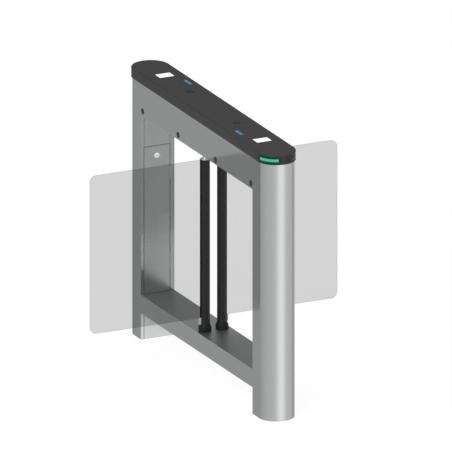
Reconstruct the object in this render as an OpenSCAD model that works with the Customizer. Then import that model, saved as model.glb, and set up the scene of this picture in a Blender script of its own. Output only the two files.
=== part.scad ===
// Swing turnstile: the middle unit between two lanes, with one clear panel for each lane.
// +X runs along the cabinet to its front end, -Y is its left side and +Z is up.
// The origin is on the floor, under the middle of the cabinet.
// Each front or left piece is mostly its rear or right twin, carried half a turn about Z.

/* [Cabinet] */
// Length of the cabinet over its round ends
body_len = 1195; // [1120:5:1400]
// Width of the cabinet, also the diameter of its round ends
body_w = 135; // [132:1:156]
// Height of the cabinet, up to the underside of the lid
body_h = 982; // [940:2:1040]
// Thickness of the stainless steel sheet
sheet_t = 1.5; // [1:0.1:2]
// Length of each end post
post_len = 125.5; // [120:0.5:160]
// Depth of the upper beam
upper_beam_h = 123; // [119:1:150]
// Height of the lower beam's deck above the floor
deck_z = 171; // [140:1:220]
// Depth of the lower beam
lower_beam_h = 70; // [50:1:90]
// Width of the open seams between sheets
seam_gap = 1; // [0.6:0.1:1.4]
// Width of the flange that the lid is screwed to
lid_flange_w = 13.5; // [12:0.5:16]

/* [Base] */
// Thickness of the base plates
base_t = 8; // [6:0.5:12]
// Distance between anchor holes along the cabinet
anchor_dx = 70; // [60:1:76]
// Distance between anchor holes across the cabinet
anchor_dy = 78; // [60:1:82]
// Diameter of the anchor holes
anchor_d = 14; // [10:0.5:16]
// Diameter of the cable entry
cable_d = 40; // [25:1:44]

/* [Service doors] */
// Width of the side panel's flange on the lock side of a door
lock_flange_w = 12.5; // [11:0.5:16]
// Width of the side panel's flange on the hinge side of a door
hinge_flange_w = 18; // [15:0.5:20]
// Height of the fixed field between a door and the upper beam
door_head_h = 126.5; // [60:0.5:200]
// Gap between a door and the deck
door_sill_gap = 2; // [1.5:0.5:5]
// How far the jamb reaches behind the door's edge
door_rebate = 4.5; // [3.5:0.5:6]
// Depth of the stiffening rim on the back of a door
door_rim_t = 3.5; // [2:0.5:3.5]
// Diameter of the hinge knuckles
knuckle_d = 5; // [4.4:0.1:5]
// Diameter of the hinge pins
hinge_pin_d = 2.4; // [1.6:0.1:2.6]
// Length of one hinge
hinge_len = 50; // [30:1:70]
// Distance from a hinge to the nearer end of the door
hinge_inset = 80; // [40:5:150]
// Diameter of the lock's bezel
lock_bezel_d = 20; // [18:0.5:24]
// Diameter of the lock's barrel
lock_barrel_d = 16; // [13:0.5:16.5]
// Diameter of the key plug
lock_plug_d = 11; // [8:0.5:12]
// Depth of the lock below the top of the door
lock_drop = 36.5; // [30:0.5:38]
// Reach of the lock's cam
cam_len = 36; // [34:0.5:38]

/* [Poles] */
// Distance between the two pole axes
pole_pitch = 68.6; // [66:0.2:70]
// Diameter of a pole
pole_d = 36.6; // [34:0.2:40]
// Diameter of the hollow in a pole
pole_bore_d = 19; // [16:0.5:20]
// Depth of the groove that holds the glass
groove_depth = 6.3; // [5:0.1:6.5]
// Gap between the top of a pole and the upper beam
pole_top_gap = 31; // [20:1:50]
// Diameter of a pole's foot
foot_d = 48; // [44:1:54]
// Height of the upright rim of a pole's foot
foot_rim_h = 14.7; // [8:0.1:20]
// Height of the sloping part of a pole's foot
foot_slope_h = 12; // [6:1:20]
// Diameter of the drive shafts
shaft_d = 17; // [14:0.5:17]
// Diameter of the pivots under the poles
pivot_d = 16; // [12:0.5:16]

/* [Glass panels] */
// Thickness of the clear panels
glass_t = 10; // [8:0.5:11]
// Gap between a swung panel and the post
swing_gap = 10; // [6:0.5:30]
// Gap between a panel and the deck
glass_bottom_gap = 52; // [48:1:90]
// Radius of a panel's outer corners
glass_corner_r = 25; // [10:1:40]

/* [Drive] */
// Module of the gear teeth
gear_module = 1.5; // [1.3:0.05:1.5]
// Face width of a drive gear
gear_w = 12; // [8:1:14]
// Thickness of the drive plate
drive_plate_t = 10; // [8:0.5:12]
// Outer diameter of the upper bearings
bearing_d = 35; // [31:1:40]
// Diameter of the gear motors
motor_d = 52; // [44:1:54]
// Height of the gear motors
motor_h = 50; // [42:1:54]
// Thickness of the motor bridge
bridge_t = 4; // [3:0.5:5]
// Diameter of the holding brakes
brake_d = 44; // [36:1:50]
// Height of the holding brakes
brake_h = 20; // [14:1:22]

/* [Sensors] */
// Height of the photo sensors above the upper beam's lower edge
sensor_rise = 18; // [16:0.5:40]
// Distance of the inner photo sensors from the middle
sensor_inner_x = 158; // [125:1:220]
// Distance of the outer photo sensors from the edge of the window
sensor_outer_inset = 14; // [14:0.5:40]
// Diameter of a photo sensor's dome
sensor_d = 23; // [21:0.5:27]
// How far a dome stands out
sensor_dome_h = 4; // [2:0.5:6]

/* [Lid] */
// How far the lid overhangs the cabinet
lid_overhang = 4.5; // [1:0.1:5]
// Height of the lid
lid_h = 38; // [34:1:44]
// Wall thickness of the lid
lid_wall = 3; // [2.6:0.1:3.4]
// Radius of the lid's top edge
lid_edge_r = 5; // [1:0.5:6]
// Distance of the reader windows from the lid's ends
reader_end = 190; // [165:1:200]
// Length of a reader window along the lid
reader_len = 43; // [36:1:56]
// Width of a reader window across the lid
reader_w = 58; // [50:1:70]
// Distance of the indicator bars from the lid's ends
indicator_end = 300; // [290:1:330]
// Distance of the indicator bars from the lid's centre line
indicator_side = 41; // [30:0.5:44]
// Length of an indicator bar
indicator_len = 57; // [40:1:64]
// Width of an indicator bar
indicator_w = 14; // [6:0.5:16]
// Distance of the round lenses from the lid's ends
lens_end = 404; // [385:1:415]
// Diameter of the round lenses
lens_d = 28; // [20:1:34]
// Height of the lane lights
light_h = 15; // [10:0.5:16]
// Height of the lane lights above the lid's underside
light_rise = 7.5; // [6:0.5:9]

/* [Hidden] */
$fn = 64;

// One overrun serves all cuts
over = 1;
// Radial clearance of a shaft or pin that turns in its hole
run_clear = 0.05;
// Gap between a fixed piece and the seat that holds it
fit_gap = 0.2;
// Gap between two pieces that turn past each other
turn_gap = 0.3;

// Colours, as shares of red, green and blue
steel_share = [0.62, 0.63, 0.64];
silver_share = [0.80, 0.80, 0.81];
black_share = [0.16, 0.16, 0.16];
dark_share = [0.08, 0.08, 0.09];
clear_share = [0.80, 0.86, 0.86];
green_share = [0.16, 0.75, 0.50];
blue_share = [0.20, 0.50, 0.75];
white_share = [0.96, 0.96, 0.96];
board_share = [0.10, 0.35, 0.20];
brass_share = [0.78, 0.66, 0.38];

// Cabinet
body_r = body_w / 2;
inner_r = body_r - sheet_t;
straight_half = body_len / 2 - body_r;
window_half = body_len / 2 - post_len;
beam_z = body_h - upper_beam_h;
under_z = deck_z - lower_beam_h;
jamb_face_x = window_half + sheet_t;
jamb_back_x = jamb_face_x + sheet_t;
post_flat = straight_half - jamb_back_x;

// Service doors
door_y0 = -body_r + lock_flange_w + seam_gap;
door_y1 = body_r - hinge_flange_w - seam_gap;
door_z0 = deck_z + door_sill_gap;
door_z1 = beam_z - door_head_h;
hinge_y = door_y1 + seam_gap / 2;
hinge_zs = [door_z0 + hinge_inset, door_z1 - hinge_inset - hinge_len];
knuckle_len = (hinge_len - 2 * turn_gap) / 3;
rim_w = 6;
rim_gap = 2;
rim_back_x = jamb_face_x + door_rim_t;

// Door locks, along an axis that points out of the door
lock_y = (door_y0 + door_y1) / 2;
lock_z = door_z1 - lock_drop;
lock_bezel_t = 2;
lock_tail = 2.5;
lock_depth = sheet_t + lock_tail;
lock_nut_d = 24;
lock_nut_t = 2;
plug_sink = 0.3;
key_slot_w = 1.4;
key_slot_len = 6.5;
key_slot_depth = 1.6;
cam_t = 2;
cam_w = 12;
cam_back = rim_back_x - window_half + cam_t + turn_gap;

// Poles
pole_y = pole_pitch / 2;
pole_top_z = beam_z - pole_top_gap;
collar_h = 5;
collar_t = 1;
groove_w = glass_t + 2 * fit_gap;
groove_r0 = pole_d / 2 - groove_depth;
cap_disc_d = pole_d;
cap_disc_t = 2;
cap_plug_h = 14;
foot_z0 = deck_z + turn_gap;
foot_rim_z = foot_z0 + foot_rim_h;
foot_top_z = foot_rim_z + foot_slope_h;
foot_edge_r = 3;
foot_plug_h = 18;
pivot_len = 16;
deck_hole_gap = 2;
soffit_hole_gap = 3.5;

// Glass
glass_r0 = groove_r0 + fit_gap;
glass_r1 = window_half - swing_gap;
glass_top_gap = 1;
glass_z0 = deck_z + glass_bottom_gap;
glass_z1 = pole_top_z - glass_top_gap;
block_out = 4.4;

// Lower bearings
lower_bearing_d = 54;
lower_bearing_t = 6;
lower_hub_d = 30;
lower_hub_t = 14;

// Drive, stacked upwards from the soffit
gear_teeth = 36;
pinion_teeth = 16;
drive_z0 = beam_z + sheet_t;
drive_z1 = drive_z0 + drive_plate_t;
hub_d = 26;
hub_lift = 0.5;
hub_low_h = 3;
hub_high_h = 5;
gear_z0 = drive_z1 + hub_lift + hub_low_h;
gear_z1 = gear_z0 + gear_w;
brake_gap = 3;
brake_z0 = gear_z1 + hub_high_h + brake_gap;
brake_z1 = brake_z0 + brake_h;
brake_flange_out = 3;
brake_flange_t = 4;
shaft_top_gap = 2;
bridge_z1 = brake_z1 + bridge_t;
motor_x = gear_module * (gear_teeth + pinion_teeth) / 2;
motor_flange_out = 2;
motor_flange_half = motor_d / 2 + motor_flange_out;
motor_flange_t = 6;
motor_hole_inset = 6;
motor_hole_side = motor_flange_half - motor_hole_inset;
gearbox_h = 18;
motor_step = 2;
motor_cap_d = 20;
motor_cap_h = 4;
output_bore_h = 14;
pinion_shaft_d = 10;
pinion_extra_w = 2;
pinion_end_gap = 1;
pinion_hole_gap = 2;
side_gap = 3;
bridge_end_gap = 6;
bridge_half = motor_x + motor_flange_half + bridge_end_gap;
bridge_side = inner_r - side_gap;
bridge_foot_w = 14;
bridge_screw_inset = 12;
drive_half = bridge_half + bridge_foot_w + side_gap;
bearing_groove_d = 25;
bearing_groove_w = 1.5;
bearing_groove_depth = 1;

// Gear teeth
pressure_angle = 20;
backlash = 0.2;
dedendum_share = 1.25;
flank_steps = 4;

// Screws
m5_r = 2.5;
m5_head_r = 4.25;
m5_head_h = 5;
m4_r = 2;
m4_head_r = 3.5;
m4_head_h = 3;
hex_key_r = 2;
hex_key_depth = 2;
bridge_screw_depth = 8;
lid_screw_len = 15;
lid_screw_end_gap = 2;
lid_boss_r = 4.5;
lid_screw_side = inner_r - (lid_flange_w - sheet_t) / 2;
lid_screw_shares = [-0.79, -0.23, 0.23, 0.79];

// Electronics, on the flat wall of each post
board_margin = 4;
board_lift = 10;
board_t = 1.6;
board_h = 190;
board_below_door = 140;
board_x0 = -straight_half + board_margin;
board_x1 = -jamb_back_x - board_margin;
board_z0 = door_z1 - board_below_door - board_h;
board_y0 = -inner_r + board_lift;
board_hole_inset = 5;
standoff_r = 3;
chip_h = 3;
chip_shares = [[0.25, 0.2, 0.5, 0.14], [0.2, 0.45, 0.35, 0.1], [0.3, 0.66, 0.45, 0.12]];
socket_h = 9;
socket_w = 8;
supply_h = 120;
supply_t = 34;
supply_terminal_h = 12;
supply_terminal_t = 20;

// Photo sensors
sensor_z = beam_z + sensor_rise;
sensor_xs = [sensor_inner_x, window_half - sensor_outer_inset];
sensor_thread_d = 18;
sensor_len = 28;
sensor_nut_d = 26;
sensor_nut_t = 5;
sensor_sphere_r = (sensor_d * sensor_d / 4 + sensor_dome_h * sensor_dome_h) / (2 * sensor_dome_h);

// Lid
lid_r = body_r + lid_overhang;
lid_in_r = lid_r - lid_wall;
lid_end = straight_half + lid_r;
lid_top = body_h + lid_h;
lid_under = lid_top - lid_wall;
reader_x = lid_end - reader_end;
reader_sink = 0.3;
frame_t = 3;
frame_w = 5;
ledge_w = 3;
card_reader_t = 12;
indicator_x = lid_end - indicator_end;
lens_x = lid_end - lens_end;
lens_sink = 0.8;
flange_out = 2;
flange_t = 2;
light_z0 = body_h + light_rise;
light_z1 = light_z0 + light_h;
light_a0 = 17.8;
light_a1 = 79.5;
light_gap_a = 0.2;
light_flange_a = 2;
light_sink = 0.4;
recess_depth = 0.8;
recess_a0 = 9;
recess_a1 = 90;
recess_rise = 2.5;
recess_drop = 6;
recess_z0 = body_h + recess_rise;
recess_z1 = lid_top - recess_drop;

// Carries rear pieces to the front end and right ones to the left side
module half_turn() {
    rotate([0, 0, 180]) children();
}

// A box given by its lowest and highest corners
module span(low, high) {
    translate(low) cube(high - low);
}

// A round bar or hole along Z
module rod(d, z0, z1) {
    translate([0, 0, z0]) cylinder(d = d, h = z1 - z0);
}

// A sector of a ring about Z, between two angles in degrees
module ring_sector(r0, r1, z0, z1, a0, a1) {
    rotate([0, 0, a0]) rotate_extrude(angle = a1 - a0)
        translate([r0, z0]) square([r1 - r0, z1 - z0]);
}

// A plan shape with round ends, along X
module stadium(half, r) {
    translate([-half, -r]) square([2 * half, 2 * r]);
    for (s = [-1, 1]) translate([s * half, 0]) circle(r = r);
}

// A cap screw that points down, with its head seated at z = 0
module cap_screw(r, len, head_r, head_h) {
    difference() {
        union() {
            rod(2 * r, -len, head_h / 2);
            rod(2 * head_r, 0, head_h);
        }
        translate([0, 0, head_h - hex_key_depth])
            cylinder(r = hex_key_r, h = hex_key_depth + over, $fn = 6);
    }
}

module at_poles() {
    for (s = [-1, 1]) translate([0, s * pole_y, 0]) children();
}

module at_lid_screws() {
    for (s = [-1, 1]) for (share = lid_screw_shares)
        translate([share * straight_half, s * lid_screw_side, 0]) children();
}

module at_rear_hinge() {
    translate([-window_half, hinge_y, 0]) children();
}

// The fixed or the moving knuckles of one door, made larger all round by grow
module knuckles(fixed, grow) {
    step = knuckle_len + turn_gap;
    lows = fixed ? [0, 2 * step] : [step];
    for (z = hinge_zs) for (low = lows)
        rod(knuckle_d + 2 * grow, z + low - grow, z + low + knuckle_len + grow);
}

module hinge_bores() {
    for (z = hinge_zs) rod(hinge_pin_d + 2 * run_clear, z - over, z + hinge_len + over);
}

// The right side of the cabinet, with the fixed knuckles of the rear door
module right_side() {
    difference() {
        union() {
            difference() {
                union() {
                    span([-straight_half, inner_r, 0], [straight_half, body_r, body_h]);
                    span([-straight_half, body_r - lid_flange_w, body_h - sheet_t],
                        [straight_half, body_r, body_h]);
                    span([-jamb_face_x, body_r - hinge_flange_w, 0], [-window_half, body_r, body_h]);
                    span([window_half, body_r - lock_flange_w, 0], [jamb_face_x, body_r, body_h]);
                }
                span([-window_half, inner_r - over, deck_z], [window_half, body_r + over, beam_z]);
                span([-window_half, inner_r - over, -over], [window_half, body_r + over, under_z]);
                for (s = [-1, 1]) for (x = sensor_xs)
                    translate([s * x, inner_r - over, sensor_z]) rotate([-90, 0, 0])
                        rod(sensor_thread_d + 2 * fit_gap, 0, sheet_t + 2 * over);
                at_lid_screws() rod(2 * (m4_r + fit_gap), body_h - sheet_t - over, body_h + over);
                at_rear_hinge() knuckles(false, turn_gap);
            }
            at_rear_hinge() knuckles(true, 0);
        }
        at_rear_hinge() hinge_bores();
    }
}

module right_side_panel() {
    color(steel_share) right_side();
}

module left_side_panel() {
    color(steel_share) half_turn() right_side();
}

// A rolled half-round end with a flange for the lid
module rear_shell() {
    translate([-straight_half, 0, 0]) {
        ring_sector(inner_r, body_r, 0, body_h, 90, 270);
        ring_sector(body_r - lid_flange_w, body_r, body_h - sheet_t, body_h, 90, 270);
    }
}

module rear_end_shell() {
    color(steel_share) rear_shell();
}

module front_end_shell() {
    color(steel_share) half_turn() rear_shell();
}

// A sheet across a beam
module cross_sheet(z0) {
    span([-window_half, -inner_r, z0], [window_half, inner_r, z0 + sheet_t]);
}

module upper_beam_soffit() {
    color(steel_share) difference() {
        cross_sheet(beam_z);
        at_poles() rod(shaft_d + 2 * soffit_hole_gap, beam_z - over, beam_z + sheet_t + over);
    }
}

module lower_beam_deck() {
    color(steel_share) difference() {
        cross_sheet(deck_z - sheet_t);
        at_poles() rod(pivot_d + 2 * deck_hole_gap, deck_z - sheet_t - over, deck_z + over);
    }
}

module lower_beam_floor() {
    color(steel_share) cross_sheet(under_z);
}

// The inner face of a post: a backing sheet with the door opening, and a flush field above and below it
module rear_jamb() {
    difference() {
        span([-jamb_back_x, -inner_r, 0], [-jamb_face_x, inner_r, body_h - sheet_t]);
        span([-jamb_back_x - over, door_y0 + door_rebate, door_z0 + door_rebate],
            [-window_half, hinge_y + knuckle_d / 2 + turn_gap, door_z1 - door_rebate]);
    }
    span([-jamb_face_x, door_y0, door_z1 + seam_gap], [-window_half, door_y1, body_h - sheet_t]);
    span([-jamb_face_x, door_y0, 0], [-window_half, door_y1, door_z0 - seam_gap]);
}

module rear_jamb_panel() {
    color(steel_share) rear_jamb();
}

module front_jamb_panel() {
    color(steel_share) half_turn() rear_jamb();
}

// A floor plate inside a post, with four anchor holes round a cable entry
module rear_base() {
    plate_r = inner_r - fit_gap;
    translate([-straight_half, 0, 0]) difference() {
        linear_extrude(base_t) intersection() {
            union() {
                circle(r = plate_r);
                translate([0, -plate_r]) square(2 * plate_r);
            }
            translate([-plate_r, -plate_r]) square([plate_r + post_flat - fit_gap, 2 * plate_r]);
        }
        for (sx = [-1, 1]) for (sy = [-1, 1])
            translate([sx * anchor_dx / 2, sy * anchor_dy / 2, 0]) rod(anchor_d, -over, base_t + over);
        rod(cable_d, -over, base_t + over);
    }
}

module rear_base_plate() {
    color(silver_share) rear_base();
}

module front_base_plate() {
    color(silver_share) half_turn() rear_base();
}

module at_bridge_screws() {
    for (sx = [-1, 1]) for (sy = [-1, 1])
        translate([sx * (bridge_half + bridge_foot_w / 2), sy * (bridge_side - bridge_screw_inset), 0])
            children();
}

module at_motors() {
    for (s = [-1, 1]) translate([s * motor_x, s * pole_y, 0]) children();
}

// The four screw places about a motor's own axis
module at_motor_holes() {
    for (sx = [-1, 1]) for (sy = [-1, 1])
        translate([sx * motor_hole_side, sy * motor_hole_side, 0]) children();
}

// A thick plate on the soffit that holds both upper bearings
module drive_plate() {
    color(silver_share) difference() {
        span([-drive_half, -bridge_side, drive_z0], [drive_half, bridge_side, drive_z1]);
        at_poles() rod(bearing_d, drive_z0 - over, drive_z1 + over);
        at_bridge_screws() rod(2 * (m5_r + fit_gap), drive_z1 - bridge_screw_depth, drive_z1 + over);
    }
}

// A folded bridge over the gears, which carries the motors on it and the brakes under it
module motor_bridge() {
    foot_x = bridge_half + bridge_foot_w;
    color(silver_share) difference() {
        span([-foot_x, -bridge_side, drive_z1], [foot_x, bridge_side, bridge_z1]);
        span([-bridge_half + bridge_t, -inner_r, drive_z1 - over],
            [bridge_half - bridge_t, inner_r, brake_z1]);
        span([bridge_half, -inner_r, drive_z1 + bridge_t], [foot_x + over, inner_r, bridge_z1 + over]);
        span([-foot_x - over, -inner_r, drive_z1 + bridge_t], [-bridge_half, inner_r, bridge_z1 + over]);
        at_motors() rod(pinion_shaft_d + 2 * pinion_hole_gap, brake_z1 - over, bridge_z1 + over);
        at_motors() at_motor_holes() rod(2 * (m4_r + fit_gap), brake_z1 - over, bridge_z1 + over);
        at_bridge_screws() rod(2 * (m5_r + fit_gap), drive_z1 - over, drive_z1 + bridge_t + over);
    }
}

// A gear motor that stands on the bridge with its output bore down
module gear_motor() {
    half = motor_flange_half;
    flange_z1 = bridge_z1 + motor_flange_t;
    top_z = bridge_z1 + motor_h;
    difference() {
        union() {
            span([-half, -half, bridge_z1], [half, half, flange_z1]);
            rod(motor_d, bridge_z1, flange_z1 + gearbox_h);
            rod(motor_d - 2 * motor_step, bridge_z1, top_z - motor_cap_h);
            rod(motor_cap_d, bridge_z1, top_z);
        }
        rod(pinion_shaft_d + 2 * run_clear, bridge_z1 - over, bridge_z1 + output_bore_h);
        at_motor_holes() {
            rod(2 * (m4_r + fit_gap), bridge_z1 - over, flange_z1 + over);
            rod(2 * (m4_head_r + fit_gap), flange_z1, top_z + over);
        }
    }
}

module left_gear_motor() {
    color(black_share) half_turn() translate([motor_x, pole_y, 0]) gear_motor();
}

module right_gear_motor() {
    color(black_share) translate([motor_x, pole_y, 0]) gear_motor();
}

// A ball bearing as one closed ring, with a groove for the shield in each face
module upper_bearing() {
    difference() {
        rod(bearing_d, drive_z0, drive_z1);
        rod(shaft_d + 2 * run_clear, drive_z0 - over, drive_z1 + over);
        for (z = [drive_z0 - over, drive_z1 - bearing_groove_depth]) difference() {
            rod(bearing_groove_d + 2 * bearing_groove_w, z, z + bearing_groove_depth + over);
            rod(bearing_groove_d - 2 * bearing_groove_w, z - over, z + bearing_groove_depth + 2 * over);
        }
    }
}

module left_upper_bearing() {
    color(silver_share) translate([0, -pole_y, 0]) upper_bearing();
}

module right_upper_bearing() {
    color(silver_share) translate([0, pole_y, 0]) upper_bearing();
}

// A flanged bearing unit under the deck
module lower_bearing() {
    top_z = deck_z - sheet_t;
    difference() {
        union() {
            rod(lower_bearing_d, top_z - lower_bearing_t, top_z);
            rod(lower_hub_d, top_z - lower_hub_t, top_z);
        }
        rod(pivot_d + 2 * run_clear, top_z - lower_hub_t - over, top_z + over);
    }
}

module left_lower_bearing() {
    color(silver_share) translate([0, -pole_y, 0]) lower_bearing();
}

module right_lower_bearing() {
    color(silver_share) translate([0, pole_y, 0]) lower_bearing();
}

// A holding brake round the top of a drive shaft
module brake() {
    difference() {
        union() {
            rod(brake_d, brake_z0, brake_z1);
            rod(brake_d + 2 * brake_flange_out, brake_z1 - brake_flange_t, brake_z1);
        }
        rod(shaft_d + 2 * turn_gap, brake_z0 - over, brake_z1 + over);
    }
}

module left_brake() {
    color(dark_share) translate([0, -pole_y, 0]) brake();
}

module right_brake() {
    color(dark_share) translate([0, pole_y, 0]) brake();
}

module drive_screws() {
    color(silver_share) {
        at_bridge_screws() translate([0, 0, drive_z1 + bridge_t])
            cap_screw(m5_r, bridge_t + bridge_screw_depth - fit_gap, m5_head_r, m5_head_h);
        at_motors() at_motor_holes() translate([0, 0, bridge_z1 + motor_flange_t])
            cap_screw(m4_r, motor_flange_t + bridge_t, m4_head_r, m4_head_h);
    }
}

// Involute teeth. flank() is the angle, in degrees, between a tooth's middle and its side at radius rho
function involute(a) = tan(a) * 180 / PI - a;
function flank(m, z, rho) =
    (PI * m - backlash) / (2 * m * z) * 180 / PI + involute(pressure_angle)
    - involute(acos(min(1, m * z / 2 * cos(pressure_angle) / rho)));
function tooth(m, z) =
    let (
        root_r = m * (z / 2 - dedendum_share),
        low_r = max(root_r, m * z / 2 * cos(pressure_angle)),
        step = (m * (z / 2 + 1) - low_r) / flank_steps,
        side = [for (i = [0 : flank_steps]) [low_r + i * step, flank(m, z, low_r + i * step)]],
        root = [[root_r, side[0][1]]]
    )
    [
        for (p = concat(root, side)) [p[0], -p[1]],
        for (i = [flank_steps : -1 : 0]) side[i],
        root[0]
    ];
function gear_outline(m, z) = [
    for (k = [0 : z - 1]) for (p = tooth(m, z))
        p[0] * [cos(p[1] + 360 * k / z), sin(p[1] + 360 * k / z)]
];

// A drive gear with its hub, on the drive shaft
module drive_gear() {
    difference() {
        union() {
            translate([0, 0, gear_z0]) linear_extrude(gear_w) polygon(gear_outline(gear_module, gear_teeth));
            rod(hub_d, gear_z0 - hub_low_h, gear_z1 + hub_high_h);
        }
        rod(shaft_d, gear_z0 - hub_low_h - over, gear_z1 + hub_high_h + over);
    }
}

module left_drive_gear() {
    color(silver_share) translate([0, -pole_y, 0]) drive_gear();
}

module right_drive_gear() {
    color(silver_share) translate([0, pole_y, 0]) drive_gear();
}

// A pinion on its shaft, with a tooth space turned towards its drive gear
module pinion() {
    low_z = gear_z0 - pinion_extra_w / 2;
    rotate([0, 0, 180 / pinion_teeth]) translate([0, 0, low_z])
        linear_extrude(gear_w + pinion_extra_w) polygon(gear_outline(gear_module, pinion_teeth));
    rod(pinion_shaft_d, low_z, bridge_z1 + output_bore_h - pinion_end_gap);
}

module left_pinion() {
    color(brass_share) half_turn() translate([motor_x, pole_y, 0]) pinion();
}

module right_pinion() {
    color(brass_share) translate([motor_x, pole_y, 0]) pinion();
}

// The pieces of a barrier are drawn about the right pole's own axis, with the glass towards +Y
module right_barrier() {
    translate([0, pole_y, 0]) children();
}

module left_barrier() {
    half_turn() translate([0, pole_y, 0]) children();
}

// A grooved extrusion with a thin collar at its top
module pole() {
    difference() {
        union() {
            rod(pole_d, foot_top_z, pole_top_z);
            rod(pole_d + 2 * collar_t, pole_top_z - collar_h, pole_top_z);
        }
        rod(pole_bore_d, foot_top_z - over, pole_top_z + over);
        span([-groove_w / 2, groove_r0, foot_top_z - over], [groove_w / 2, pole_d, pole_top_z + over]);
    }
}

module left_pole() {
    color(dark_share) left_barrier() pole();
}

module right_pole() {
    color(dark_share) right_barrier() pole();
}

// A clear panel with two round outer corners
module glass_panel() {
    corner_r1 = glass_r1 - glass_corner_r;
    rotate([90, 0, 90]) linear_extrude(glass_t, center = true) {
        translate([glass_r0, glass_z0]) square([corner_r1 - glass_r0, glass_z1 - glass_z0]);
        translate([glass_r0, glass_z0 + glass_corner_r])
            square([glass_r1 - glass_r0, glass_z1 - glass_z0 - 2 * glass_corner_r]);
        for (z = [glass_z0 + glass_corner_r, glass_z1 - glass_corner_r])
            translate([corner_r1, z]) circle(r = glass_corner_r);
    }
}

module left_glass_panel() {
    color(clear_share) left_barrier() glass_panel();
}

module right_glass_panel() {
    color(clear_share) right_barrier() glass_panel();
}

// The block in the groove that the glass stands on
module support_block() {
    span([-glass_t / 2, glass_r0, foot_top_z], [glass_t / 2, pole_d / 2 + block_out, glass_z0]);
}

module left_support_block() {
    color(silver_share) left_barrier() support_block();
}

module right_support_block() {
    color(silver_share) right_barrier() support_block();
}

// The pole's top disc, its plug in the pole and the shaft above it, turned from one bar
module drive_shaft() {
    rod(pole_bore_d, pole_top_z - cap_plug_h, pole_top_z);
    rod(cap_disc_d, pole_top_z, pole_top_z + cap_disc_t);
    rod(shaft_d, pole_top_z, brake_z1 - shaft_top_gap);
}

module left_drive_shaft() {
    color(silver_share) left_barrier() drive_shaft();
}

module right_drive_shaft() {
    color(silver_share) right_barrier() drive_shaft();
}

// A flared foot with a plug up into the pole and a pivot down through the deck
module pole_foot() {
    rod(pivot_d, deck_z - pivot_len, foot_rim_z);
    rod(pole_bore_d, foot_rim_z, foot_top_z + foot_plug_h);
    rotate_extrude() {
        polygon([
            [0, foot_z0], [foot_d / 2 - foot_edge_r, foot_z0], [foot_d / 2, foot_z0 + foot_edge_r],
            [foot_d / 2, foot_rim_z], [pole_d / 2, foot_top_z], [0, foot_top_z]
        ]);
        translate([foot_d / 2 - foot_edge_r, foot_z0 + foot_edge_r]) circle(r = foot_edge_r);
    }
}

module left_pole_foot() {
    color(dark_share) left_barrier() pole_foot();
}

module right_pole_foot() {
    color(dark_share) right_barrier() pole_foot();
}

// Carries a shape along Z to the rear door's lock, pointing out of the door
module at_rear_lock() {
    translate([-window_half, lock_y, lock_z]) rotate([0, 90, 0]) children();
}

// A flush door: a plate, a stiffening rim behind it, and the moving knuckles
module rear_door() {
    rim_y0 = door_y0 + door_rebate + rim_gap;
    rim_y1 = door_y1 - door_rebate;
    rim_z0 = door_z0 + door_rebate + rim_gap;
    rim_z1 = door_z1 - door_rebate - rim_gap;
    difference() {
        union() {
            span([-jamb_face_x, door_y0, door_z0], [-window_half, door_y1, door_z1]);
            difference() {
                span([-rim_back_x, rim_y0, rim_z0], [-jamb_face_x, rim_y1, rim_z1]);
                span([-rim_back_x - over, rim_y0 + rim_w, rim_z0 + rim_w],
                    [-jamb_face_x, rim_y1 - rim_w, rim_z1 - rim_w]);
            }
            at_rear_hinge() knuckles(false, 0);
        }
        at_rear_hinge() knuckles(true, turn_gap);
        at_rear_hinge() hinge_bores();
        at_rear_lock() rod(lock_barrel_d + 2 * fit_gap, -sheet_t - over, over);
    }
}

module rear_service_door() {
    color(steel_share) rear_door();
}

module front_service_door() {
    color(steel_share) half_turn() rear_door();
}

// Bezel, barrel and nut of a door lock
module door_lock() {
    difference() {
        union() {
            rod(lock_bezel_d, 0, lock_bezel_t);
            rod(lock_barrel_d, -lock_depth, lock_bezel_t);
            translate([0, 0, -sheet_t - lock_nut_t]) cylinder(d = lock_nut_d, h = lock_nut_t, $fn = 6);
        }
        rod(lock_plug_d + 2 * run_clear, -lock_depth - over, lock_bezel_t + over);
    }
}

module rear_door_lock() {
    color(silver_share) at_rear_lock() door_lock();
}

module front_door_lock() {
    color(silver_share) half_turn() at_rear_lock() door_lock();
}

// The key plug and its cam, turned to the unlocked side
module lock_cam() {
    difference() {
        rod(lock_plug_d, -cam_back, lock_bezel_t - plug_sink);
        translate([0, 0, lock_bezel_t - plug_sink - key_slot_depth / 2])
            cube([key_slot_w, key_slot_len, key_slot_depth], center = true);
    }
    translate([0, 0, -cam_back]) linear_extrude(cam_t) {
        circle(d = cam_w);
        translate([-cam_w / 2, 0]) square([cam_w, cam_len]);
        translate([0, cam_len]) circle(d = cam_w);
    }
}

module rear_lock_cam() {
    color(silver_share) at_rear_lock() lock_cam();
}

module front_lock_cam() {
    color(silver_share) half_turn() at_rear_lock() lock_cam();
}

module hinge_pins() {
    at_rear_hinge() for (z = hinge_zs) rod(hinge_pin_d, z, z + hinge_len);
}

module door_hinge_pins() {
    color(silver_share) {
        hinge_pins();
        half_turn() hinge_pins();
    }
}

// A circuit board on the left wall of the rear post, with its chips and a row of sockets
module control_board() {
    board_len = board_x1 - board_x0;
    board_y1 = board_y0 + board_t;
    color(board_share) difference() {
        union() {
            span([board_x0, board_y0, board_z0], [board_x1, board_y1, board_z0 + board_h]);
            for (c = chip_shares)
                translate([board_x0 + c[0] * board_len, board_y1, board_z0 + c[1] * board_h])
                    cube([c[2] * board_len, chip_h, c[3] * board_h]);
            translate([board_x0 + 2 * board_hole_inset, board_y1, board_z0])
                cube([board_len - 4 * board_hole_inset, socket_h, socket_w]);
        }
        at_board_holes() rod(2 * m4_r, board_y0 - over, board_y1 + over);
    }
}

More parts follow.
